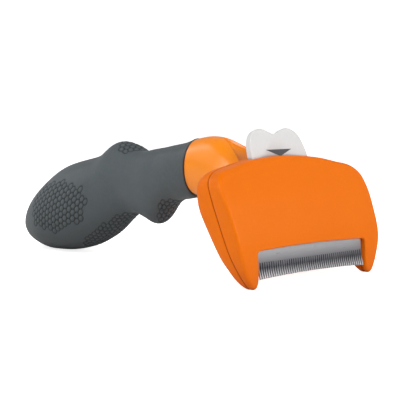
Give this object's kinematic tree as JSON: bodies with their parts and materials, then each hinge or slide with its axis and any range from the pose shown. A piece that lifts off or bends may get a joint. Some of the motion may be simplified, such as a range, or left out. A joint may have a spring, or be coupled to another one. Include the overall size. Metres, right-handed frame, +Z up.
{
  "type": "deshedding tool",
  "caption": "Hand-held deshedding tool for pets: toothed steel edge in a wedge head, push button that clears the teeth, gooseneck and a soft shaped grip.",
  "frame": {"origin": "middle of the footprint, on the surface that the two arm tips and the belly of the grip rest on", "axes": "+Z up with the tool lying on its arm tips and grip, +Y from the head towards the end of the grip, X across the head; the face of the head looks along -Y"},
  "size_m": [0.095, 0.1946, 0.0646],
  "materials": {
    "head_plastic": "satin moulded ABS, fine spark texture",
    "neck_plastic": "semi-gloss moulded ABS",
    "stainless": "brushed stainless",
    "zinc_steel": "zinc plated",
    "spring_steel": "drawn wire",
    "black_nylon": "glass filled nylon",
    "button_plastic": "satin moulded ABS",
    "core_plastic": "moulded polypropylene",
    "grip_rubber": "matte thermoplastic elastomer with fields of small raised cells"
  },
  "bodies": {
    "handle": {"front_shell": "head_plastic", "rear_shell": "head_plastic", "neck": "neck_plastic", "neck_screws": "zinc_steel", "comb_blade": "stainless", "blade_holder": "black_nylon", "blade_rivets": "zinc_steel", "holder_screws": "zinc_steel", "guide_pin_left": "zinc_steel", "guide_pin_right": "zinc_steel", "return_spring_left": "spring_steel", "return_spring_right": "spring_steel", "handle_core_left": "core_plastic", "handle_core_right": "core_plastic", "core_screws": "zinc_steel", "cross_pin": "zinc_steel", "grip_sleeve": "grip_rubber"},
    "ejector": {"ejector_plate": "stainless", "plate_rivets": "zinc_steel", "ejector_slider": "black_nylon", "ejector_button": "button_plastic", "button_screws": "zinc_steel"}
  },
  "joints": [
    {"name": "ejector_slide", "type": "slide", "parent": "handle", "child": "ejector", "axis": [0, -0.3536, -0.9354], "range_m": [0, 0.0095], "stiffness_N_per_m": 300, "springref_m": -0.01, "deforming": ["return_spring_left", "return_spring_right"]}
  ]
}
